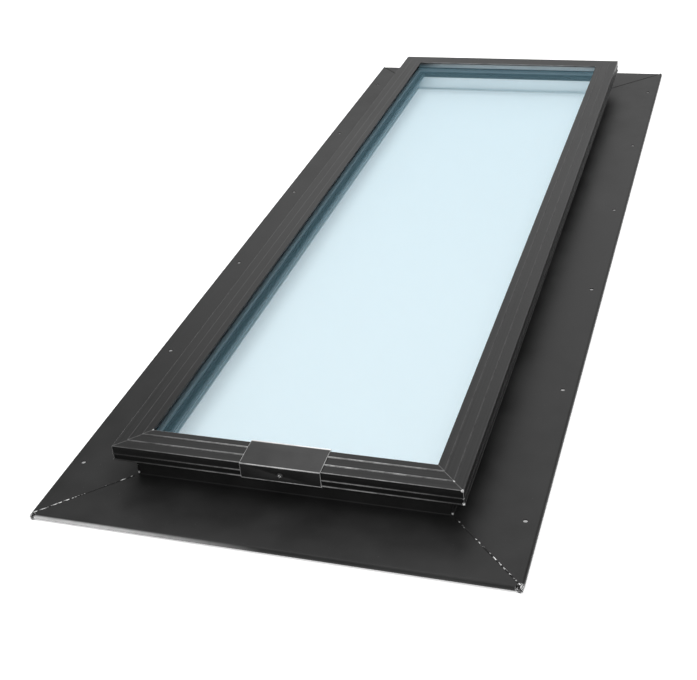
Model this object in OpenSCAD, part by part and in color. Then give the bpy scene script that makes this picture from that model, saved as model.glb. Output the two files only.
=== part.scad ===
// Fixed, self-flashing roof skylight. A welded aluminium flashing pan carries a base frame with
// a condensation gutter, a sealed double-glazed unit and a stepped cap frame that clips over it.
// Lies flat: +X across the slope, +Y up the slope, +Z out of the roof. The origin is on the roof
// deck, in the middle of the light opening. A section is drawn as (u, z): u is the distance
// inwards from the outer face of the curb, z is the height above the deck.

/* [Light opening] */
// Clear width of the light opening, across the slope
opening_w = 368; // [280:1:900]
// Clear length of the light opening, up the slope
opening_l = 1384; // [500:1:2400]
// Distance from the outer face of the curb to the light opening
well_inset = 28.5; // [27:0.5:45]

/* [Flashing pan] */
// Thickness of the flashing sheet
sheet_t = 1.6; // [1.2:0.1:2.5]
// Width of the flange, from the curb to the outside of the rim
flange_w = 107; // [70:1:160]
// Height of the folded-up curb above the flange's underside
curb_h = 36.5; // [32:0.5:80]
// Inside radius of the fold between flange and curb
fold_r = 2; // [1:0.5:4]
// Outside diameter of the rim, which is rolled under the flange and stands on the deck
rim_d = 8.5; // [6:0.5:12]
// Gap between the rims where they meet under a corner
rim_gap = 0.4; // [0.2:0.1:1]
// Radius of a corner weld bead
weld_r = 2; // [1.6:0.1:3]

/* [Nail holes] */
// Diameter of a nail hole
nail_d = 6; // [4:0.5:9]
// Distance from the outside of the rim to the nail holes
nail_edge = 19; // [14:1:40]
// Distance from the lower and upper rims to the first and last nail hole
nail_end = 115; // [60:1:200]
// Number of nail holes along each side flange
nail_count = 6; // [2:1:12]

/* [Base frame] */
// Wall of the base frame extrusion
wall_t = 2; // [1.6:0.1:3]
// Wall of its outer leg and of its gutter lip
leg_t = 1.8; // [1.4:0.1:2.4]
// Thickness of the sealant between the curb and the base frame
bed_gap = 1; // [0.5:0.1:2]
// Width of the foot, inwards from the web
foot_w = 4; // [3:1:10]
// Clear width of the condensation gutter
gutter_w = 5.4; // [4:0.2:8]
// Depth of the gutter below the underside of the shelf
gutter_drop = 6.6; // [5:0.2:12]
// Height of the gutter lip above the underside of the gutter
lip_h = 6.6; // [4:0.2:9]
// Height of the outer leg above the shelf
leg_h = 15.5; // [14:0.5:17]
// Height of the rib that the setting blocks bear on
rib_h = 8.5; // [4:0.5:9]
// Length of one weep slot
weep_l = 20; // [8:1:40]
// Width of one weep slot
weep_w = 4; // [2:0.5:6]

/* [Glass] */
// Thickness of one pane
pane_t = 3.2; // [3:0.1:6]
// Space between the two panes
cavity = 9.6; // [8:0.1:16]
// How far the glass reaches outwards over the curb's outer face
glass_lap = 2.6; // [0:0.1:2.8]
// Width of the spacer bar
spacer_w = 6.5; // [5:0.1:8]
// Wall of the spacer bar
spacer_wall = 0.6; // [0.4:0.1:1]
// Width of the edge sealant outside the spacer bar
edge_seal_w = 4.6; // [3:0.1:6]
// Thickness of the glazing tape under the glass
tape_t = 3.2; // [1.6:0.1:4.8]
// Width of the glazing tape
tape_w = 12; // [8:0.5:13]
// Thickness of the gasket on top of the glass
gasket_t = 1.5; // [1:0.1:3]
// Width of that gasket
gasket_w = 8; // [5:0.1:8.4]
// Length of one setting block
block_l = 80; // [40:1:120]

/* [Cap frame] */
// Width of a cap rail, seen from above
cap_w = 41; // [38:0.5:60]
// How far the cap reaches outwards past the curb
cap_over = 20; // [18:0.5:30]
// Wall of the cap extrusion
cap_t = 1.8; // [1.4:0.1:2.4]
// Height of the skirt
skirt_h = 22; // [18:0.5:22]
// Height of each of the two steps in the cap's top
step_h = 1; // [0.5:0.1:1.5]
// Width of the innermost terrace
inner_terrace = 11; // [10:0.5:14]
// Clearance between the cap's outer step and the edge of the glass
step_gap = 0.6; // [0.2:0.1:2]
// Radius of the half-round bead along the skirt
ridge_r = 0.9; // [0.5:0.1:1.3]
// Height of that bead above the skirt's lower edge
ridge_h = 9.7; // [6:0.1:14]
// Radius of the round lip along the skirt's lower edge
lip_r = 1.2; // [0.8:0.1:1.5]
// Clearance of the snap hook
snap_gap = 0.2; // [0.1:0.05:0.4]

/* [Sill clip] */
// Width of the folded clip over the sill rail
clip_w = 107; // [60:1:160]
// Thickness of the clip's sheet
clip_t = 0.8; // [0.6:0.1:1.2]
// How far the clip reaches past the cap's inner edge
clip_past = 3; // [0:0.5:6]
// How far it turns down there, short of the glass
clip_lip = 2.2; // [1:0.1:3]
// How far the clip turns in under the skirt
clip_return = 2.4; // [1.5:0.1:3]
// Diameter of the clip screw
screw_d = 4; // [3:0.5:5]
// Diameter of the screw's pan head
head_d = 8; // [6:0.5:9]
// Height of the pan head
head_h = 2.4; // [1.8:0.1:3]

/* [Hidden] */
$fn = 48;

BRONZE = "#4b4846";
MILL = "#b4b6b8";
RUBBER = "#1c1c1d";
SEALANT = "#3b3c3e";
TAPE = "#8b9196";
GLASS = "#bcdcea";

// How far a cutter runs past what it cuts, and how far joined shapes run into each other
over = 1;
bite = 0.2;

// Plan sizes
curb_w = opening_w + 2 * well_inset;
curb_l = opening_l + 2 * well_inset;
pan_l = curb_l + 2 * flange_w;
nail_pitch = (pan_l - 2 * nail_end) / (nail_count - 1);

// The flange lies level with the top of its rim
flange_z = rim_d - sheet_t;
fold_z = rim_d + fold_r;
curb_z = flange_z + curb_h;

// Base frame, across the section
web_u = sheet_t + bed_gap;
gutter_lip_u = well_inset - leg_t;
inner_web_u = gutter_lip_u - gutter_w - wall_t;
shelf_end_u = inner_web_u + wall_t;
cap_u = -cap_over;
leg_u = cap_u + cap_t;
leg_inner_u = leg_u + leg_t;
rib_t = 1.6;
block_t = 4;
block_gap = 0.7;
block_places = [-0.25, 0.25];
rib_u = -glass_lap - block_t - rib_t;
shelf_bead_r = 0.6;
weep_places = [-0.3, 0, 0.3];

// Heights, stacked from the curb up to the top of the cap
shelf_z = curb_z + wall_t;
gutter_z = curb_z - gutter_drop;
inner_pane_z = shelf_z + tape_t;
cavity_z = inner_pane_z + pane_t;
outer_pane_z = cavity_z + cavity;
glass_top_z = outer_pane_z + pane_t;
top_z = glass_top_z + gasket_t + cap_t;
middle_z = top_z - step_h;
outer_z = middle_z - step_h;
skirt_z = outer_z - skirt_h;
underside_z = outer_z - cap_t;

// Cap frame, across the section
cap_inner_u = cap_w - cap_over;
step_in_u = cap_inner_u - inner_terrace;
step_out_u = -glass_lap - step_gap - cap_t;
outer_edge_r = 1;
step_edge_r = 0.4;
inner_edge_r = 0.6;

// Snap hook: a barb on the base frame's leg and a hooked finger under the cap
barb = 1;
barb_face = 0.8;
barb_h = 2;
hook_h = 1.8;
barb_z = shelf_z + leg_h - barb_h;
finger_t = 1.4;
finger_u = leg_inner_u + barb + snap_gap;
hook_z = barb_z - snap_gap;

// Glass edges and seals
spacer_u = edge_seal_w - glass_lap;
tape_set_back = 3.5;
tape_u = shelf_end_u - tape_set_back - tape_w;
gasket_set_back = 0.1;
gasket_u = cap_inner_u - gasket_t / 2 - gasket_set_back - gasket_w;
seal_margin = 2.5;

// Corner keys
key_gap = 0.2;
base_key_arm = 45;
cap_key_arm = 40;
cap_key_w = 8;
cap_key_t = 2;
cap_key_u = finger_u + finger_t + 2 * key_gap;
key_chamfer = 1.5;
stake_w = 3;
stake_depth = 1.2;
stake_places = [0.55, 0.8];

// Rolled rim: half the angle that its sheet stops short of the flange
rim_open = 32;

// Weld beads: how far those on the mitres stop short of the rims, and the slimmer ones on the curb
weld_start = rim_d / 2 + 0.5;
curb_weld_r = 0.8 * weld_r;

// Clip and its screw: the clip's straight top rests on the inner step and the next one it meets
clip_u = cap_u - lip_r;
clip_end_u = cap_inner_u + clip_past;
clip_slope = min((top_z - middle_z) / (step_in_u - step_out_u),
                 (top_z - outer_z) / (step_in_u - cap_u));
clip_fold_z = top_z - clip_slope * (step_in_u - clip_u);
clip_foot_z = skirt_z + 0.4;
screw_clear = 0.5;
screw_z = hook_z - hook_h - screw_d / 2 - screw_clear;
screw_past = 3.6;
screw_l = leg_inner_u - clip_u + screw_past;
tip_l = 3;
head_edge = 0.8;

// Side of the frame: how far it is turned, how long the curb is there, and how far out it lies
function is_end(side) = side == "sill" || side == "head";
function turn(side) = side == "sill" ? 0 : side == "right" ? 90 : side == "head" ? 180 : 270;
function run(side) = is_end(side) ? curb_w : curb_l;
function reach(side) = (is_end(side) ? curb_l : curb_w) / 2;

// Puts (x along the rail, u inwards, z up) in its place on one side of the frame
module on_side(side) {
  rotate([0, 0, turn(side)]) translate([0, -reach(side), 0]) children();
}

// Extrudes a section along x, centred
module bar(length) {
  rotate([90, 0, 90]) linear_extrude(height = length, center = true) children();
}

// A bar of one section along a whole side, with its ends mitred
module rail(side) {
  out = flange_w + over;
  in = well_inset + over;
  half = run(side) / 2;
  on_side(side) intersection() {
    bar(2 * (half + out)) children();
    translate([0, 0, -over]) linear_extrude(height = top_z + 2 * over)
      polygon([[-half - out, -out], [half + out, -out], [half - in, in], [-half + in, in]]);
  }
}

// A closed rectangular ring between two distances from the curb's outer face
module ring(u_out, u_in, z_low, z_high) {
  translate([0, 0, z_low]) linear_extrude(height = z_high - z_low) difference() {
    square([curb_w - 2 * u_out, curb_l - 2 * u_out], center = true);
    square([curb_w - 2 * u_in, curb_l - 2 * u_in], center = true);
  }
}

// Repeats a corner piece, drawn from the curb's lower left corner, at all four corners
module each_corner() {
  for (sx = [0, 1], sy = [0, 1])
    mirror([sx, 0, 0]) mirror([0, sy, 0]) translate([-curb_w / 2, -curb_l / 2, 0]) children();
}

// What is cut from a top edge of a section to round it; side -1 is the outer edge, 1 the inner
module edge_round(u, z, r, side) {
  translate([u - side * r, z - r]) difference() {
    translate([side > 0 ? 0 : -r - over, 0]) square([r + over, r + over]);
    circle(r);
  }
}

// ---- Flashing pan: four folded strips of sheet, welded at the corners ----

// Flange, fold and upstand of a strip
module fold_section() {
  translate([-flange_w + rim_d / 2, flange_z]) square([flange_w - rim_d / 2 - fold_r, sheet_t]);
  translate([0, fold_z]) square([sheet_t, curb_z - fold_z]);
  translate([-fold_r, fold_z]) intersection() {
    difference() {
      circle(fold_r + sheet_t);
      circle(fold_r);
    }
    translate([0, -fold_r - sheet_t]) square(fold_r + sheet_t);
  }
}

// Rolled rim: the sheet curls down and back under the flange, and stops just short of it
module rim_section() {
  translate([-flange_w + rim_d / 2, rim_d / 2]) difference() {
    circle(rim_d / 2);
    circle(rim_d / 2 - sheet_t);
    polygon([[0, 0], [rim_d * cos(rim_open), rim_d * sin(rim_open)], [rim_d, rim_d], [0, rim_d]]);
  }
}

// The sill and head strips: their rims stop between the rims of the side strips
module end_strip(side) {
  half = run(side) / 2 + flange_w - rim_d - rim_gap;
  rail(side) fold_section();
  on_side(side) bar(2 * half) rim_section();
}

// The side strips: nail holes in the flange, and rims that run out to open ends
module side_strip(side) {
  difference() {
    union() {
      rail(side) fold_section();
      on_side(side) bar(pan_l) rim_section();
    }
    for (i = [0 : nail_count - 1])
      on_side(side) translate([-pan_l / 2 + nail_end + i * nail_pitch, nail_edge - flange_w, flange_z - over])
        cylinder(d = nail_d, h = sheet_t + 2 * over);
  }
}

module flashing_sill() { color(BRONZE) end_strip("sill"); }
module flashing_head() { color(BRONZE) end_strip("head"); }
module flashing_left() { color(BRONZE) side_strip("left"); }
module flashing_right() { color(BRONZE) side_strip("right"); }

// Weld beads: one along each mitre of the flange, one up each corner of the curb
module corner_welds() {
  length = (flange_w - fold_r - weld_start) * sqrt(2);
  color(MILL) each_corner() {
    intersection() {
      translate([weld_start - flange_w, weld_start - flange_w, rim_d - weld_r / 2])
        rotate([0, 90, 45]) cylinder(r = weld_r, h = length);
      translate([-flange_w, -flange_w, rim_d]) cube([flange_w, flange_w, weld_r]);
    }
    translate([0, 0, fold_z]) difference() {
      cylinder(r = curb_weld_r, h = curb_z - fold_z);
      translate([0, 0, -over]) cube([2 * weld_r, 2 * weld_r, curb_z]);
    }
  }
}

// Sealant between the curb's inner face and the base frame
module curb_sealant() {
  color(SEALANT) for (side = ["sill", "head", "left", "right"])
    rail(side) translate([sheet_t, fold_z + seal_margin])
      square([bed_gap, curb_z - fold_z - 2 * seal_margin]);
}

// ---- Base frame: a hollow extrusion with a glazing shelf and a condensation gutter ----

module base_section() {
  translate([web_u, 0]) square([wall_t, curb_z]);
  translate([web_u, 0]) square([foot_w + wall_t, wall_t]);
  translate([web_u, gutter_z]) square([well_inset - web_u, wall_t]);
  translate([inner_web_u, gutter_z]) square([wall_t, curb_z - gutter_z]);
  translate([leg_u, curb_z]) square([shelf_end_u - leg_u, wall_t]);
  // Bead along the shelf's inner edge, and the gutter's lip with its round top
  translate([shelf_end_u - shelf_bead_r, shelf_z + shelf_bead_r / 2]) circle(shelf_bead_r);
  translate([gutter_lip_u, gutter_z]) square([leg_t, lip_h - leg_t / 2]);
  translate([gutter_lip_u + leg_t / 2, gutter_z + lip_h - leg_t / 2]) circle(leg_t / 2);
  // Rib for the setting blocks, and the outer leg with its barb
  translate([rib_u, shelf_z]) square([rib_t, rib_h]);
  translate([leg_u, shelf_z]) square([leg_t, leg_h]);
  translate([leg_inner_u, barb_z]) polygon([[0, 0], [barb, 0], [barb, barb_face], [0, barb_h]]);
}

module base_rail_sill() {
  color(BRONZE) difference() {
    rail("sill") base_section();
    for (share = weep_places) on_side("sill")
      translate([share * curb_w, (leg_inner_u + rib_u) / 2, curb_z - over]) {
        straight = weep_l - weep_w;
        depth = wall_t + 2 * over;
        translate([-straight / 2, -weep_w / 2, 0]) cube([straight, weep_w, depth]);
        for (end = [-1, 1]) translate([end * straight / 2, 0, 0]) cylinder(d = weep_w, h = depth);
      }
    on_side("sill") translate([0, leg_inner_u + over, screw_z]) rotate([90, 0, 0])
      cylinder(d = screw_d, h = leg_t + 2 * over);
  }
}

module base_rail_head() { color(BRONZE) rail("head") base_section(); }
module base_rail_left() { color(BRONZE) rail("left") base_section(); }
module base_rail_right() { color(BRONZE) rail("right") base_section(); }

// L-shaped key from the outer line a to the inner line b, with chamfered ends
module corner_key(a, b, arm, thick) {
  c = key_chamfer;
  linear_extrude(height = thick) polygon([
    [a, a], [a + arm - c, a], [a + arm, a + c], [a + arm, b - c], [a + arm - c, b],
    [b, b], [b, a + arm - c], [b - c, a + arm], [a + c, a + arm], [a, a + arm - c]]);
}

// Cast keys in the base frame's hollow, each with two staking grooves
module base_corner_keys() {
  a = web_u + wall_t + key_gap;
  b = inner_web_u - key_gap;
  thick = gutter_drop - wall_t - key_gap;
  color(MILL) each_corner() translate([0, 0, gutter_z + wall_t]) difference() {
    corner_key(a, b, base_key_arm, thick);
    for (share = stake_places) {
      along = a + share * base_key_arm;
      cutter = [stake_w, stake_w, thick + 2 * over];
      translate([along, b - stake_depth, -over]) cube(cutter);
      translate([b - stake_depth, along, -over]) cube(cutter);
    }
  }
}

// ---- Glazing: tape, sealed unit, setting blocks and gasket ----

module tape_section() { translate([tape_u, shelf_z]) square([tape_w, tape_t]); }
module glazing_tape_sill() { color(TAPE) rail("sill") tape_section(); }
module glazing_tape_head() { color(TAPE) rail("head") tape_section(); }
module glazing_tape_left() { color(TAPE) rail("left") tape_section(); }
module glazing_tape_right() { color(TAPE) rail("right") tape_section(); }

module pane(z) {
  translate([0, 0, z + pane_t / 2])
    cube([curb_w + 2 * glass_lap, curb_l + 2 * glass_lap, pane_t], center = true);
}

module inner_pane() { color(GLASS, 0.5) pane(inner_pane_z); }
module outer_pane() { color(GLASS, 0.5) pane(outer_pane_z); }

// Bent channel between the panes, open towards the sealant
module spacer_bar() {
  color(MILL) difference() {
    ring(spacer_u, spacer_u + spacer_w, cavity_z, outer_pane_z);
    ring(spacer_u - over, spacer_u + spacer_w - spacer_wall,
         cavity_z + spacer_wall, outer_pane_z - spacer_wall);
  }
}

// Sealant that closes the edge of the glass unit and fills the channel
module edge_sealant() {
  color(SEALANT) {
    ring(-glass_lap, spacer_u, cavity_z, outer_pane_z);
    ring(spacer_u - bite, spacer_u + spacer_w - spacer_wall,
         cavity_z + spacer_wall, outer_pane_z - spacer_wall);
  }
}

// Two rubber blocks on each side hold the glass edge off the base frame's rib
module setting_blocks() {
  color(RUBBER) for (side = ["sill", "head", "left", "right"], share = block_places)
    on_side(side) translate([share * run(side) - block_l / 2, rib_u + rib_t, shelf_z])
      cube([block_l, block_t, underside_z - shelf_z - block_gap]);
}

// Flat strip under the cap with a small bulb at the edge that shows
module gasket_section() {
  translate([gasket_u, glass_top_z]) square([gasket_w, gasket_t]);
  translate([gasket_u + gasket_w, glass_top_z + gasket_t / 2]) intersection() {
    circle(gasket_t / 2);
    translate([0, -gasket_t]) square([gasket_t, 2 * gasket_t]);
  }
}

module gasket_sill() { color(RUBBER) rail("sill") gasket_section(); }
module gasket_head() { color(RUBBER) rail("head") gasket_section(); }
module gasket_left() { color(RUBBER) rail("left") gasket_section(); }
module gasket_right() { color(RUBBER) rail("right") gasket_section(); }

// ---- Cap frame: a stepped angle with a snap finger, mitred and keyed at the corners ----

module cap_section() {
  difference() {
    union() {
      polygon([
        [leg_u, skirt_z], [leg_u, underside_z], [step_out_u + cap_t, underside_z],
        [step_out_u + cap_t, middle_z - cap_t], [step_in_u + cap_t, middle_z - cap_t],
        [step_in_u + cap_t, top_z - cap_t], [cap_inner_u, top_z - cap_t], [cap_inner_u, top_z],
        [step_in_u, top_z], [step_in_u, middle_z], [step_out_u, middle_z], [step_out_u, outer_z],
        [cap_u, outer_z], [cap_u, skirt_z]]);
      translate([cap_u, skirt_z + ridge_h]) circle(ridge_r);
      translate([cap_u, skirt_z + lip_r]) circle(lip_r);
      translate([finger_u, hook_z - hook_h]) square([finger_t, underside_z - hook_z + hook_h + bite]);
      translate([finger_u, hook_z])
        polygon([[bite, 0], [-barb, 0], [-barb, -barb_face], [bite, -hook_h]]);
    }
    edge_round(cap_u, outer_z, outer_edge_r, -1);
    edge_round(step_out_u, middle_z, step_edge_r, -1);
    edge_round(step_in_u, top_z, step_edge_r, -1);
    edge_round(cap_inner_u, top_z, inner_edge_r, 1);
  }
}

module cap_sill() {
  color(BRONZE) difference() {
    rail("sill") cap_section();
    on_side("sill") translate([0, leg_u + bite, screw_z]) rotate([90, 0, 0])
      cylinder(d = screw_d + screw_clear, h = cap_t + lip_r + over);
  }
}

module cap_head() { color(BRONZE) rail("head") cap_section(); }
module cap_left() { color(BRONZE) rail("left") cap_section(); }
module cap_right() { color(BRONZE) rail("right") cap_section(); }

// Flat keys staked to the underside of the cap at its mitres
module cap_corner_keys() {
  color(MILL) each_corner() translate([0, 0, underside_z - cap_key_t])
    corner_key(cap_key_u, cap_key_u + cap_key_w, cap_key_arm, cap_key_t);
}

// ---- Sill clip: one folded sheet around the sill rail, held by one screw ----

module clip_section() {
  line = [
    [clip_end_u, top_z - clip_lip], [clip_end_u, top_z], [step_in_u, top_z],
    [clip_u, clip_fold_z], [clip_u, clip_foot_z], [clip_u + clip_return, clip_foot_z - clip_return]];
  difference() {
    union() {
      for (i = [0 : len(line) - 2]) {
        step = line[i + 1] - line[i];
        translate(line[i]) rotate(atan2(step[1], step[0])) translate([0, -clip_t])
          square([norm(step), clip_t]);
      }
      for (i = [1 : len(line) - 2]) translate(line[i]) circle(clip_t);
    }
    polygon(line);
  }
}

module sill_clip() {
  color(BRONZE) difference() {
    on_side("sill") bar(clip_w) clip_section();
    on_side("sill") translate([0, clip_u + over, screw_z]) rotate([90, 0, 0])
      cylinder(d = screw_d + screw_clear, h = clip_t + 2 * over);
  }
}

// Pan-head screw through the clip and the cap into the base frame's leg
module clip_screw() {
  crown = head_h - head_edge;
  dome = (head_d * head_d / 4 + crown * crown) / (2 * crown);
  color(MILL) on_side("sill") translate([0, clip_u - clip_t, screw_z]) rotate([90, 0, 0])
    rotate_extrude() {
      intersection() {
        square([head_d / 2, head_h]);
        translate([0, head_h - dome]) circle(dome);
      }
      translate([0, -screw_l]) square([screw_d / 2, screw_l]);
      polygon([[0, -screw_l - tip_l], [screw_d / 2, -screw_l], [0, -screw_l]]);
    }
}

flashing_sill();
flashing_head();
flashing_left();
flashing_right();
corner_welds();
curb_sealant();
base_rail_sill();
base_rail_head();
base_rail_left();
base_rail_right();
base_corner_keys();
glazing_tape_sill();
glazing_tape_head();
glazing_tape_left();
glazing_tape_right();
inner_pane();
spacer_bar();
edge_sealant();
outer_pane();
setting_blocks();
gasket_sill();
gasket_head();
gasket_left();
gasket_right();
cap_sill();
cap_head();
cap_left();
cap_right();
cap_corner_keys();
sill_clip();
clip_screw();
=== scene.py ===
from math import pi, radians

import bpy
from mathutils import Matrix, Vector


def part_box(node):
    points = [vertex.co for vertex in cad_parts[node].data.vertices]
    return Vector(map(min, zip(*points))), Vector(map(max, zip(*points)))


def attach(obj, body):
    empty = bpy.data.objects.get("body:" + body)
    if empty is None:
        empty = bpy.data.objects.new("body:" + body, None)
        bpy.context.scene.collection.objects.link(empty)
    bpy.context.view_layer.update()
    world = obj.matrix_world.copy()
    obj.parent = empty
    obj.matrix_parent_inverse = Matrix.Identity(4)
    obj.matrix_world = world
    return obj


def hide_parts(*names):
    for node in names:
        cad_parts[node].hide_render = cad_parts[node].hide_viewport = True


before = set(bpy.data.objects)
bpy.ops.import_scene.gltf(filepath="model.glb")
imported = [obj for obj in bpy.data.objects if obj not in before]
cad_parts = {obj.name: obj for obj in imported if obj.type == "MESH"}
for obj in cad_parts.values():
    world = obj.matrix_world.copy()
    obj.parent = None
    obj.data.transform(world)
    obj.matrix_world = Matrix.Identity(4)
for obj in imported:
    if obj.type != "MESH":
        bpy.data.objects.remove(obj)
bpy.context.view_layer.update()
cad = {piece.name: piece for piece in bpy.context.scene.objects if piece.type == "MESH"}
bpy.ops.object.select_all(action="DESELECT")


# ---- Studio ---------------------------------------------------------------------------------
# The skylight lies on a white table that glows a little, as a light table does. A wide soft light
# hangs over it, a large soft panel beyond its head is what the coat and the glass mirror, and a
# small one stands in front of its sill.
WHITE = (1.0, 1.0, 1.0, 1.0)

camera_data = bpy.data.cameras.new("camera")
camera_data.sensor_width = 36.0
camera_data.lens = 63.72
camera = bpy.data.objects.new("camera", camera_data)
camera_right = Vector((0.95103, 0.29743, -0.08412))
camera_up = Vector((-0.08878, 0.52351, 0.84738))
camera_back = Vector((0.29608, -0.79842, 0.52428))
turned = Matrix((camera_right, camera_up, camera_back)).transposed().to_4x4()
camera.matrix_world = Matrix.Translation((0.51895, -1.85099, 0.99234)) @ turned
bpy.context.scene.collection.objects.link(camera)
bpy.context.scene.camera = camera
bpy.context.scene.view_settings.view_transform = "Standard"

room = bpy.data.worlds.new("room")
bpy.context.scene.world = room
room.use_nodes = True
room.node_tree.nodes["Background"].inputs["Color"].default_value = WHITE
room.node_tree.nodes["Background"].inputs["Strength"].default_value = 0.30


def soft_light(name, power, width, height, place, aim):
    lamp = bpy.data.lights.new(name, "AREA")
    lamp.shape = "RECTANGLE"
    lamp.size = width
    lamp.size_y = height
    lamp.energy = power
    holder = bpy.data.objects.new(name, lamp)
    holder.location = place
    holder.rotation_euler = (Vector(aim) - Vector(place)).to_track_quat("-Z", "Y").to_euler()
    bpy.context.scene.collection.objects.link(holder)


soft_light("overhead", 90.0, 3.6, 3.0, (0.2, -0.2, 3.0), (0.0, 0.0, 0.0))
soft_light("head_panel", 88.0, 5.5, 4.6, (-0.6, 4.4, 3.6), (-0.6, 0.0, 2.2))
soft_light("front_panel", 30.0, 3.0, 1.2, (0.4, -3.2, 2.6), (0.0, -0.7, 0.0))


def fill_inputs(tree, node, inputs):
    for key, value in inputs.items():
        if isinstance(value, bpy.types.NodeSocket):
            tree.links.new(value, node.inputs[key])
        else:
            node.inputs[key].default_value = value


def add_node(tree, kind, inputs=None, **settings):
    node = tree.nodes.new("ShaderNode" + kind)
    for key, value in settings.items():
        setattr(node, key, value)
    fill_inputs(tree, node, inputs or {})
    return node


def calc(tree, operation, *values, clamp=False):
    node = add_node(tree, "Math", dict(enumerate(values)), operation=operation, use_clamp=clamp)
    return node.outputs[0]


def spread(tree, value, low, high, to_low=0.0, to_high=1.0):
    limits = {"Value": value, "From Min": low, "From Max": high, "To Min": to_low, "To Max": to_high}
    return add_node(tree, "MapRange", limits).outputs["Result"]


def noise(tree, place, scale, detail=3.0, rough=0.5):
    settings = {"Vector": place, "Scale": scale, "Detail": detail, "Roughness": rough}
    return add_node(tree, "TexNoise", settings).outputs["Fac"]


def blend_colour(tree, share, first, second):
    return add_node(tree, "Mix", {0: share, 6: first, 7: second}, data_type="RGBA").outputs[2]


def begin_material(name):
    material = bpy.data.materials.new(name)
    material.use_nodes = True
    material.node_tree.nodes.clear()
    tree = material.node_tree
    return material, tree, add_node(tree, "TexCoord").outputs["Object"]


def end_material(tree, inputs):
    shader = add_node(tree, "BsdfPrincipled", inputs)
    add_node(tree, "OutputMaterial", {"Surface": shader.outputs[0]})


floor_paint, tree, place = begin_material("floor_paint")
clouding = noise(tree, place, 1.5)
floor_tone = blend_colour(tree, clouding, (0.88, 0.88, 0.88, 1.0), (0.91, 0.91, 0.91, 1.0))
end_material(tree, {"Base Color": floor_tone, "Roughness": 0.9, "Specular IOR Level": 0.1,
                    "Emission Color": WHITE, "Emission Strength": 0.4})

bpy.ops.mesh.primitive_plane_add(size=16.0, location=(0.0, 0.0, 0.0))
floor = bpy.context.object
floor.name = "floor"
floor.data.materials.append(floor_paint)


# ---- Flashing strips ------------------------------------------------------------------------
# Four strips of aluminium sheet, folded up into the curb and rolled under at the rim, coated
# satin black. The side strips have nail holes, and their rims run out to open ends.
BARE_METAL = (0.86, 0.86, 0.86, 1.0)
HIGHLIGHT_AND_WEAR_COAT = (0.50, 0.50, 0.50, 1.0)
PAINTED_SHADE_COAT = (0.003, 0.003, 0.003, 1.0)
DUST_SPECK = (0.09, 0.09, 0.09, 1.0)
COAT_SPECULAR = 0.16
PAN_CORNER = (0.3195, 0.8275, 0.0040)
PAN_FRONT = -0.8262
RIM_MIDDLE = 0.0046
SILL_PART = (-0.30, -0.20)


def rubbed(tree, place, where, amount, scale=900.0):
    """Broken patches inside an area where the coat is worn through."""
    patches = spread(tree, noise(tree, place, scale, 4.0, 0.6), 0.62 - amount, 0.70 - amount)
    return calc(tree, "MULTIPLY", patches, where, clamp=True)


def near_point(tree, place, point, reach):
    """One at the point, nothing from reach onwards."""
    away = add_node(tree, "VectorMath", {0: place, 1: point}, operation="DISTANCE").outputs["Value"]
    return spread(tree, away, reach * 0.5, reach, 1.0, 0.0)


def folded_place(tree, place):
    """The same place on all four corners: both level coordinates without their signs."""
    return add_node(tree, "VectorMath", {0: place}, operation="ABSOLUTE").outputs["Vector"]


def bumps(tree, height, strength, deep):
    """A normal that follows a height pattern, deep being the height of its bumps in metres."""
    inputs = {"Height": height, "Strength": strength, "Distance": deep}
    return add_node(tree, "Bump", inputs).outputs["Normal"]


def coat(name, dark, light, rough, grain, worn=None, lines=None, shade=None, peel=0.06, bright=0.6):
    """Satin coat on aluminium: slow tone changes, drawn lines along the metal, fine orange peel.

    worn, lines and shade are masks for bare metal, for rubbed edges and painted highlights, and for
    painted shade.
    """
    material, tree, place = begin_material(name)
    along = add_node(tree, "Mapping", {"Vector": place, "Scale": grain}).outputs["Vector"]
    drawn = noise(tree, along, 1.0, 2.0)
    clouds = noise(tree, place, 6.0, 4.0)
    tone = spread(tree, calc(tree, "ADD", drawn, clouds), 0.75, 1.25)
    colour = blend_colour(tree, tone, dark, light)
    specks = spread(tree, noise(tree, place, 420.0, 2.0), 0.74, 0.78, 0.0, 0.4)
    colour = blend_colour(tree, specks, colour, DUST_SPECK)
    inputs = {"Roughness": spread(tree, calc(tree, "ADD", clouds, drawn), 0.7, 1.3, *rough)}
    if shade:
        # painted shade: the coat is darkened where the shade mask is set
        colour = blend_colour(tree, shade(tree, place), colour, PAINTED_SHADE_COAT)
    if lines:
        # light lines: painted highlights, in places also rubbed edges
        colour = blend_colour(tree, lines(tree, place), colour, HIGHLIGHT_AND_WEAR_COAT)
    if worn:
        bare = worn(tree, place)
        colour = blend_colour(tree, bare, colour, BARE_METAL)
        inputs["Metallic"] = calc(tree, "MULTIPLY", bare, bright)
    grains = noise(tree, place, 1100.0, 2.0)
    inputs["Normal"] = bumps(tree, calc(tree, "MULTIPLY_ADD", drawn, 0.6, grains), peel, 0.0004)
    inputs["Base Color"] = colour
    inputs["Specular IOR Level"] = COAT_SPECULAR
    end_material(tree, inputs)
    return material


def finish(names, material):
    """Gives the CAD nodes of these names their material."""
    for name in names:
        for slot in cad[name].material_slots:
            slot.material = material


def stripe(tree, value, centre, width):
    """One on a line, falling to nothing at a width to each side of it."""
    away = calc(tree, "ABSOLUTE", calc(tree, "SUBTRACT", value, centre))
    return spread(tree, away, width * 0.4, width, 1.0, 0.0)


def at_sill(tree, axes):
    """One at the sill end, nothing at the head end."""
    return spread(tree, axes[1], *SILL_PART, 1.0, 0.0)


def split_axes(tree, place):
    """The place's three coordinates, each on its own."""
    return add_node(tree, "SeparateXYZ", {0: place}).outputs


def rim_nicks(tree, place):
    """Knocks through the coat at the two corners of the sill's rim."""
    corner = near_point(tree, folded_place(tree, place), PAN_CORNER, 0.011)
    corner = calc(tree, "MULTIPLY", corner, at_sill(tree, split_axes(tree, place)))
    return rubbed(tree, place, corner, 0.13, 700.0)


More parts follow.
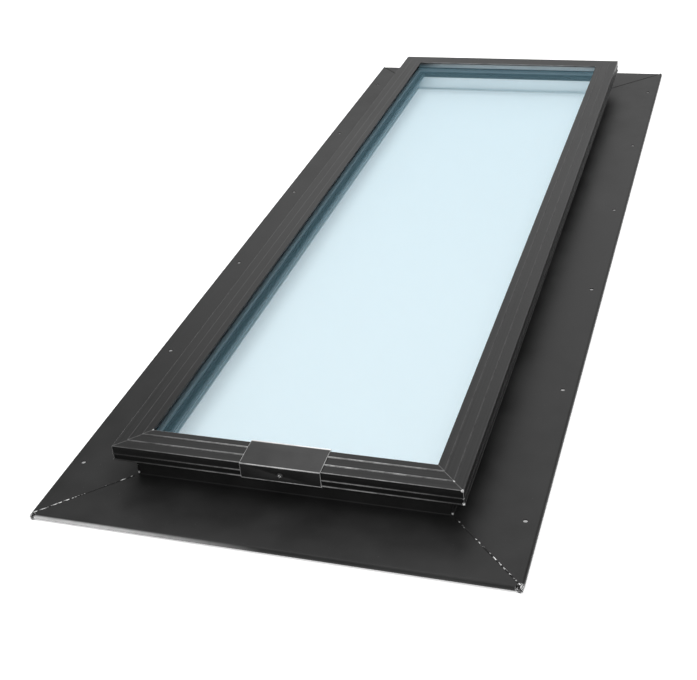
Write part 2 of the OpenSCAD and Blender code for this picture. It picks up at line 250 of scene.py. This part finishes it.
def painted_rim_highlight(tree, place):
    """A painted highlight along the left part of the sill's rim, fading out towards the middle."""
    axes = split_axes(tree, place)
    front = spread(tree, axes[1], PAN_FRONT, PAN_FRONT + 0.0012, 1.0, 0.0)
    middle = stripe(tree, axes[2], RIM_MIDDLE, 0.0036)
    left = spread(tree, axes[0], -0.22, 0.0, 1.0, 0.0)
    streaks = spread(tree, noise(tree, place, 70.0, 3.0), 0.2, 0.5, 0.75, 1.0)
    highlight = calc(tree, "MULTIPLY", calc(tree, "MULTIPLY", front, middle), left)
    return calc(tree, "MULTIPLY", highlight, streaks, clamp=True)


# the lines mask paints a highlight along the left part of the sill's rim
sheet_coat = coat("sheet_coat", (0.016, 0.016, 0.016, 1.0), (0.025, 0.025, 0.025, 1.0),
                  (0.34, 0.46), (20.0, 20.0, 20.0), worn=rim_nicks, lines=painted_rim_highlight)
finish(["flashing_sill", "flashing_head", "flashing_left", "flashing_right"], sheet_coat)


# ---- Weld beads -----------------------------------------------------------------------------
# The strips are joined by a small bead of melted filler along each flange mitre and up each
# corner of the curb. The beads were coated with the pan, and their crests are knocked bare.
FLANGE_TOP = 0.0085
MITRE_START = (0.3145, 0.8225)
MITRE_STEP = 0.0016
CURB_CORNER = (0.2126, 0.7206)
CURB_STEP = 0.0013
CURB_FOOT = 0.0108


def bead(name, count, radius, squash, step):
    """A row of overlapping round ripples, as the filler rod leaves them."""
    bpy.ops.mesh.primitive_uv_sphere_add(segments=14, ring_count=8, radius=radius,
                                         location=(0.0, 0.0, 0.0))
    run = bpy.context.object
    run.name = name
    bpy.ops.object.mode_set(mode="EDIT")
    bpy.ops.transform.resize(value=squash, center_override=(0.0, 0.0, 0.0))
    bpy.ops.object.mode_set(mode="OBJECT")
    rows = run.modifiers.new("rows", "ARRAY")
    rows.use_relative_offset = False
    rows.use_constant_offset = True
    rows.constant_offset_displace = step
    rows.count = count
    bpy.ops.object.modifier_apply(modifier="rows")
    bpy.ops.object.shade_smooth()
    return run


def put_copy(pattern, turn, place):
    """A copy with its own mesh, turned about the upright and put in its place."""
    copy = pattern.copy()
    copy.data = pattern.data.copy()
    bpy.context.scene.collection.objects.link(copy)
    copy.rotation_euler = (0.0, 0.0, turn)
    copy.location = place
    return copy


def join_pieces(pieces, name):
    """Makes one piece at the origin out of several, with its place in its mesh."""
    bpy.ops.object.select_all(action="DESELECT")
    for piece in pieces:
        piece.select_set(True)
    bpy.context.view_layer.objects.active = pieces[0]
    bpy.ops.object.transform_apply(location=True, rotation=True, scale=True)
    bpy.ops.object.join()
    joined = bpy.context.object
    joined.name = name
    joined.data.name = name
    bpy.ops.object.select_all(action="DESELECT")
    return joined


mitre_bead = bead("mitre_bead", 86, 0.0012, (0.9, 1.0, 0.55), (MITRE_STEP, 0.0, 0.0))
curb_bead = bead("curb_bead", 25, 0.0013, (1.0, 1.0, 0.8), (0.0, 0.0, CURB_STEP))
beads = []
for side, end, turn in ((-1, -1, 45), (1, -1, 135), (1, 1, 225), (-1, 1, 315)):
    outer = (side * MITRE_START[0], end * MITRE_START[1], FLANGE_TOP)
    beads.append(put_copy(mitre_bead, radians(turn), outer))
    foot = (side * CURB_CORNER[0], end * CURB_CORNER[1], CURB_FOOT)
    beads.append(put_copy(curb_bead, 0.0, foot))
bpy.data.objects.remove(mitre_bead)
bpy.data.objects.remove(curb_bead)
weld_beads = join_pieces(beads, "weld_beads")


def bead_wear(tree, place):
    """Bare on the crests at the sill end, more of it towards the rims, and at the curb's foot."""
    folded = folded_place(tree, place)
    level = split_axes(tree, folded)
    crest = spread(tree, level[2], FLANGE_TOP + 0.0002, FLANGE_TOP + 0.0006)
    outer = spread(tree, level[0], 0.235, 0.312)
    long_gaps = noise(tree, place, 75.0, 2.0)
    short_gaps = noise(tree, place, 260.0, 2.0)
    gaps = calc(tree, "MULTIPLY", long_gaps, short_gaps)
    patches = spread(tree, calc(tree, "MULTIPLY_ADD", outer, 0.10, gaps), 0.31, 0.38)
    foot = near_point(tree, folded, (*CURB_CORNER, CURB_FOOT + 0.0004), 0.0032)
    shine = calc(tree, "MULTIPLY", patches, crest)
    spots = calc(tree, "MAXIMUM", shine, foot)
    return calc(tree, "MULTIPLY", spots, at_sill(tree, split_axes(tree, place)), clamp=True)


weld_beads.data.materials.clear()
weld_beads.data.materials.append(
    coat("weld_coat", (0.008, 0.008, 0.008, 1.0), (0.020, 0.020, 0.020, 1.0), (0.36, 0.50),
         (60.0, 60.0, 60.0), worn=bead_wear, peel=0.2))
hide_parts("corner_welds")
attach(weld_beads, "root")


# ---- Curb sealant ---------------------------------------------------------------------------
# A bed of dark sealant, gunned in between the curb and the base frame, slightly lumpy and dull.
# The glass unit's own edge is sealed with the same kind of stuff.
def soft_filling(name, dark, light, rough, lump, bump=0.25):
    """Sealant or rubber, slightly uneven, with about lump lumps to a metre."""
    material, tree, place = begin_material(name)
    lumps = noise(tree, place, lump, 4.0, 0.6)
    inputs = {"Base Color": blend_colour(tree, lumps, dark, light)}
    inputs["Roughness"] = spread(tree, lumps, 0.3, 0.7, *rough)
    inputs["Normal"] = bumps(tree, lumps, bump, 0.0006)
    end_material(tree, inputs)
    return material


sealant = soft_filling("sealant", (0.018, 0.019, 0.020, 1.0), (0.040, 0.041, 0.043, 1.0),
                       (0.45, 0.65), 240.0)
finish(["curb_sealant", "edge_sealant"], sealant)


# ---- Base frame -----------------------------------------------------------------------------
# Four aluminium extrusions with a glazing shelf and a condensation gutter, mitred and held by
# cast keys in their hollows. Their inner faces show through the glass, coated like the cap.
GUTTER_UNDERSIDE = 0.0366


def bare_below(tree, place):
    """The coat was sprayed from above, and stops at the underside of the gutter."""
    height = split_axes(tree, place)[2]
    return spread(tree, height, GUTTER_UNDERSIDE - 0.0004, GUTTER_UNDERSIDE, 1.0, 0.0)


def frame_coat(name, grain):
    return coat(name, (0.012, 0.013, 0.014, 1.0), (0.030, 0.032, 0.034, 1.0), (0.30, 0.42), grain,
                worn=bare_below, peel=0.08, bright=1.0)


finish(["base_rail_sill", "base_rail_head"], frame_coat("base_coat_across", (2.0, 420.0, 420.0)))
finish(["base_rail_left", "base_rail_right"], frame_coat("base_coat_along", (420.0, 2.0, 420.0)))


def plain_metal(name, dark, light, rough, grain, bump):
    """Uncoated aluminium or steel, with the grain of casting, drawing or rolling."""
    material, tree, place = begin_material(name)
    along = add_node(tree, "Mapping", {"Vector": place, "Scale": grain}).outputs["Vector"]
    grains = noise(tree, along, 1.0, 4.0, 0.6)
    stains = noise(tree, place, 45.0, 3.0)
    inputs = {"Base Color": blend_colour(tree, calc(tree, "MULTIPLY", grains, stains), dark, light)}
    inputs["Roughness"] = spread(tree, stains, 0.3, 0.7, *rough)
    inputs["Normal"] = bumps(tree, grains, bump, 0.0003)
    inputs["Metallic"] = 1.0
    end_material(tree, inputs)
    return material


cast_metal = plain_metal("cast_metal", (0.42, 0.42, 0.43, 1.0), (0.66, 0.66, 0.67, 1.0),
                         (0.42, 0.60), (900.0, 900.0, 900.0), 0.5)
finish(["base_corner_keys", "cap_corner_keys"], cast_metal)


# ---- Glazing tape ---------------------------------------------------------------------------
# Grey closed-cell foam tape, stuck along the shelf for the glass to lie on.
foam, tree, place = begin_material("foam")
cells = add_node(tree, "TexVoronoi", {"Vector": place, "Scale": 1500.0}).outputs["Distance"]
foam_tone = blend_colour(tree, cells, (0.16, 0.17, 0.18, 1.0), (0.30, 0.32, 0.34, 1.0))
end_material(tree, {"Base Color": foam_tone, "Roughness": spread(tree, cells, 0.0, 1.0, 0.85, 0.95),
                    "Normal": bumps(tree, cells, 0.4, 0.0003)})
finish(["glazing_tape_sill", "glazing_tape_head", "glazing_tape_left", "glazing_tape_right"], foam)


# ---- Glass unit -----------------------------------------------------------------------------
# Two lightly tinted float-glass panes, coated so that they mirror faintly blue, and sealed round a
# hollow aluminium bar. They are clean, and only their gloss is a little uneven.
MIRROR_BLUE = (0.45, 0.82, 1.0, 1.0)
MIRROR_STRAIGHT = 0.025
MIRROR_AT_EDGE = 0.18


def glass(name, tint):
    """What light passes is tinted, and the flatter it falls, the more of it is mirrored."""
    material, tree, place = begin_material(name)
    facing = add_node(tree, "LayerWeight", {"Blend": 0.5}).outputs["Facing"]
    edge = calc(tree, "POWER", facing, 5.0)
    share = calc(tree, "MULTIPLY_ADD", edge, MIRROR_AT_EDGE, MIRROR_STRAIGHT)
    rough = spread(tree, noise(tree, place, 9.0, 3.0), 0.3, 0.7, 0.01, 0.04)
    normal = bumps(tree, noise(tree, place, 3.0, 1.0), 0.02, 0.002)
    through = add_node(tree, "BsdfTransparent", {"Color": tint})
    shine = add_node(tree, "BsdfGlossy", {"Color": MIRROR_BLUE, "Roughness": rough, "Normal": normal})
    shader = add_node(tree, "MixShader", {0: share, 1: through.outputs[0], 2: shine.outputs[0]})
    add_node(tree, "OutputMaterial", {"Surface": shader.outputs[0]})
    return material


finish(["outer_pane"], glass("tinted_glass", (0.916, 0.935, 0.943, 1.0)))
finish(["inner_pane"], glass("clear_glass", (0.929, 0.944, 0.948, 1.0)))
rolled_metal = plain_metal("rolled_metal", (0.45, 0.46, 0.47, 1.0), (0.68, 0.69, 0.70, 1.0),
                           (0.30, 0.42), (300.0, 300.0, 2600.0), 0.2)
finish(["spacer_bar"], rolled_metal)


# ---- Setting blocks and gaskets -------------------------------------------------------------
# Black rubber: eight blocks hold the glass edge off the frame, and a strip with a small bulb
# seals the cap to the glass all round.
rubber = soft_filling("rubber", (0.006, 0.006, 0.006, 1.0), (0.015, 0.015, 0.016, 1.0),
                      (0.50, 0.70), 600.0, 0.15)
finish(["setting_blocks", "gasket_sill", "gasket_head", "gasket_left", "gasket_right"], rubber)


# ---- Cap frame ------------------------------------------------------------------------------
# Four aluminium extrusions with a top in three terraces and a skirt with a bead and a round lip,
# mitred, keyed and snapped over the base frame. Light lines along its edges are painted highlights,
# and the skirt's coat is painted darker as shade.
CURB_HALF = (0.2125, 0.7205)
OUTER_EDGE = -0.0198
INNER_EDGE = 0.0208
STEPS = (-0.0048, 0.0102)
BEAD_Z, LIP_Z = 0.0541, 0.0455
SKIRT_TOP = 0.0650
LINE_WIDTH = 0.0011
LINES_MIDDLE = 0.03


def cap_highlight_lines(across):
    """Thin light lines along the edges of the terraces, the bead and the lip, and at the mitres.

    They are painted highlights, clear along the sill, most of all near its middle, and faint along the
    sides; at the mitres they also mark the seams.
    """
    share, mitre_share = (1.0, 0.45) if across else (0.12, 3.0)

    def build(tree, place):
        axes = split_axes(tree, place)
        level = split_axes(tree, folded_place(tree, place))
        sill = at_sill(tree, axes)
        from_side = calc(tree, "SUBTRACT", CURB_HALF[0], level[0])
        from_end = calc(tree, "SUBTRACT", CURB_HALF[1], level[1])
        inwards = from_end if across else from_side
        top_edge = calc(tree, "MULTIPLY", stripe(tree, inwards, OUTER_EDGE, LINE_WIDTH), 0.7)
        total = calc(tree, "MULTIPLY", top_edge, spread(tree, level[2], SKIRT_TOP, SKIRT_TOP + 0.0005))
        for step in STEPS:
            total = calc(tree, "MAXIMUM", total, stripe(tree, inwards, step, LINE_WIDTH))
        aside = calc(tree, "ABSOLUTE", calc(tree, "SUBTRACT", axes[0], LINES_MIDDLE))
        middle = spread(tree, aside, 0.06, 0.22, 1.0, 0.32)
        for height, strength in ((BEAD_Z, 0.50), (LIP_Z, 0.70)):
            line = calc(tree, "MULTIPLY", stripe(tree, level[2], height, 0.0009), strength)
            total = calc(tree, "MAXIMUM", total, calc(tree, "MULTIPLY", line, middle))
        if across:
            total = calc(tree, "MULTIPLY", total, calc(tree, "MULTIPLY", middle, sill))
            inner_edge = calc(tree, "MULTIPLY", stripe(tree, inwards, INNER_EDGE, 0.0008), 0.5)
            total = calc(tree, "MAXIMUM", total, inner_edge)
        mitre = stripe(tree, calc(tree, "SUBTRACT", from_side, from_end), 0.0, 0.0006)
        mitre = calc(tree, "MULTIPLY", mitre, calc(tree, "MULTIPLY", sill, mitre_share))
        total = calc(tree, "MAXIMUM", total, mitre)
        broken = spread(tree, noise(tree, place, 45.0, 5.0, 0.7), 0.35, 0.65, 0.35, 1.0)
        return calc(tree, "MULTIPLY", calc(tree, "MULTIPLY", total, broken), share, clamp=True)
    return build


def painted_skirt_shade(tree, place):
    """Painted shade: the coat on the skirt is painted darker."""
    level = split_axes(tree, folded_place(tree, place))
    below = spread(tree, level[2], SKIRT_TOP - 0.0002, SKIRT_TOP + 0.0006, 1.0, 0.0)
    return calc(tree, "MULTIPLY", below, 0.85)


KNOCKS = (((0.2318, -0.7405, 0.0657), 0.0032), ((0.2337, -0.7417, 0.0455), 0.0040),
          ((0.2334, -0.7414, 0.0536), 0.0022), ((0.2175, -0.7255, 0.0665), 0.0018),
          ((-0.1915, -0.6995, 0.0665), 0.0025))


def cap_nicks(tree, place):
    """Knocks through the coat at the sill's right corner, and one inside its left corner."""
    total = 0.0
    for knock, reach in KNOCKS:
        total = calc(tree, "MAXIMUM", total, near_point(tree, place, knock, reach))
    return rubbed(tree, place, total, 0.18, 600.0)


def cap_coat(name, grain, across):
    return coat(name, (0.012, 0.012, 0.012, 1.0), (0.024, 0.024, 0.024, 1.0), (0.28, 0.42), grain,
                worn=cap_nicks, lines=cap_highlight_lines(across), shade=painted_skirt_shade, peel=0.08)


finish(["cap_sill", "cap_head"], cap_coat("cap_coat_across", (2.0, 480.0, 480.0), True))
finish(["cap_left", "cap_right"], cap_coat("cap_coat_along", (480.0, 2.0, 480.0), False))


# ---- Sill clip ------------------------------------------------------------------------------
# One sheet of thin aluminium, cut, folded round the sill rail and coated. Its cut edges are rubbed
# light, its folds carry painted highlights, its front is painted darker as shade, and it hangs down
# over the skirt.
def merged_copy(node, name):
    """A new piece with the shape of a CAD node, its triangles joined up."""
    piece = cad[node].copy()
    piece.data = cad[node].data.copy()
    piece.name = name
    piece.data.name = name
    bpy.context.scene.collection.objects.link(piece)
    bpy.ops.object.select_all(action="DESELECT")
    piece.select_set(True)
    bpy.context.view_layer.objects.active = piece
    bpy.ops.object.mode_set(mode="EDIT")
    bpy.ops.mesh.select_all(action="SELECT")
    bpy.ops.mesh.remove_doubles(threshold=0.000002)
    bpy.ops.mesh.dissolve_limited(angle_limit=radians(1.0))
    bpy.ops.object.mode_set(mode="OBJECT")
    return piece


CLIP_HALF = 0.0535
CLIP_BACK = 0.6978
CLIP_FRONT = 0.7412
CLIP_FOOT = 0.0444
FOLD_Y, FOLD_Z = 0.7422, 0.0664

folded_clip = merged_copy("sill_clip", "folded_clip")
softened = folded_clip.modifiers.new("softened", "BEVEL")
softened.width = 0.00018
softened.segments = 2
softened.limit_method = "ANGLE"
softened.angle_limit = radians(40.0)
bpy.ops.object.modifier_apply(modifier="softened")
bpy.ops.object.shade_smooth_by_angle(angle=radians(30.0))


def clip_bare_and_highlight(tree, place):
    """Bare metal with a painted highlight along the fold over the glass's edge."""
    axes = split_axes(tree, place)
    back = spread(tree, axes[1], -CLIP_BACK - 0.0004, -CLIP_BACK + 0.0006)
    gaps = spread(tree, noise(tree, place, 90.0, 3.0), 0.25, 0.45, 0.5, 1.0)
    return calc(tree, "MULTIPLY", back, gaps, clamp=True)


def painted_clip_shade(tree, place):
    """Painted shade: the coat on its front is painted darker."""
    return spread(tree, split_axes(tree, place)[1], -CLIP_FRONT, -CLIP_FRONT + 0.0008, 0.8, 0.0)


def clip_wear_and_highlight_lines(tree, place):
    """Thin light lines: rubbed along its cut sides, painted highlights along its two folds and its
    lower edge.
    """
    level = split_axes(tree, folded_place(tree, place))
    sides = spread(tree, level[0], CLIP_HALF - 0.0006, CLIP_HALF - 0.0003)
    front = stripe(tree, calc(tree, "ADD", level[2], level[1]), FOLD_Z + FOLD_Y, 0.0008)
    back = spread(tree, level[1], CLIP_BACK, CLIP_BACK + 0.0012, 1.0, 0.0)
    foot = calc(tree, "MULTIPLY", stripe(tree, level[2], CLIP_FOOT, 0.0010), 0.8)
    folds = calc(tree, "MAXIMUM", front, back)
    total = calc(tree, "MAXIMUM", calc(tree, "MAXIMUM", sides, folds), foot)
    broken = spread(tree, noise(tree, place, 60.0, 4.0, 0.6), 0.3, 0.6, 0.5, 1.0)
    return calc(tree, "MULTIPLY", total, broken, clamp=True)


folded_clip.data.materials.clear()
folded_clip.data.materials.append(
    coat("clip_coat", (0.040, 0.040, 0.040, 1.0), (0.050, 0.050, 0.050, 1.0), (0.34, 0.44),
         (40.0, 40.0, 40.0), lines=clip_wear_and_highlight_lines, shade=painted_clip_shade, worn=clip_bare_and_highlight))
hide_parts("sill_clip")
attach(folded_clip, "root")


# ---- Clip screw -----------------------------------------------------------------------------
# A steel pan-head screw with a cross recess, driven through the clip and the cap into the base
# frame's leg, and touched over with the same black coat.
HEAD_RADIUS = 0.0040
CUTTER_LENGTH = 0.0030
HEAD_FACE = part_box("clip_screw")[0][1]
SCREW_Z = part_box("clip_screw")[0][2] + HEAD_RADIUS

pan_screw = merged_copy("clip_screw", "pan_screw")
bpy.ops.mesh.primitive_cone_add(vertices=4, radius1=0.0021, radius2=0.0009, depth=CUTTER_LENGTH,
                                location=(0.0, HEAD_FACE + 0.0009, SCREW_Z),
                                rotation=(-pi / 2, 0.0, 0.0))
recess = bpy.context.object
recess.name = "recess"
bpy.ops.object.mode_set(mode="EDIT")
bpy.ops.mesh.select_all(action="SELECT")
bpy.ops.transform.resize(value=(1.0, 1.0, 0.3), center_override=(0.0, HEAD_FACE, SCREW_Z))
bpy.ops.object.mode_set(mode="OBJECT")
cross = put_copy(recess, 0.0, recess.location)
cross.rotation_euler = (-pi / 2, pi / 2, 0.0)
for cutter in (recess, cross):
    cut = pan_screw.modifiers.new("cut", "BOOLEAN")
    cut.object = cutter
    cut.operation = "DIFFERENCE"
    bpy.context.view_layer.objects.active = pan_screw
    bpy.ops.object.modifier_apply(modifier="cut")
    bpy.data.objects.remove(cutter)
bpy.ops.object.select_all(action="DESELECT")
pan_screw.select_set(True)
bpy.context.view_layer.objects.active = pan_screw
bpy.ops.object.shade_smooth_by_angle(angle=radians(35.0))


def screw_wear(tree, place):
    """The driver has rubbed the face of the head."""
    face = spread(tree, split_axes(tree, place)[1], HEAD_FACE + 0.0003, HEAD_FACE + 0.0008, 1.0, 0.0)
    return rubbed(tree, place, face, 0.10)


pan_screw.data.materials.clear()
pan_screw.data.materials.append(
    coat("screw_coat", (0.020, 0.020, 0.020, 1.0), (0.050, 0.050, 0.050, 1.0), (0.22, 0.34),
         (500.0, 500.0, 500.0), worn=screw_wear))
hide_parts("clip_screw")
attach(pan_screw, "root")
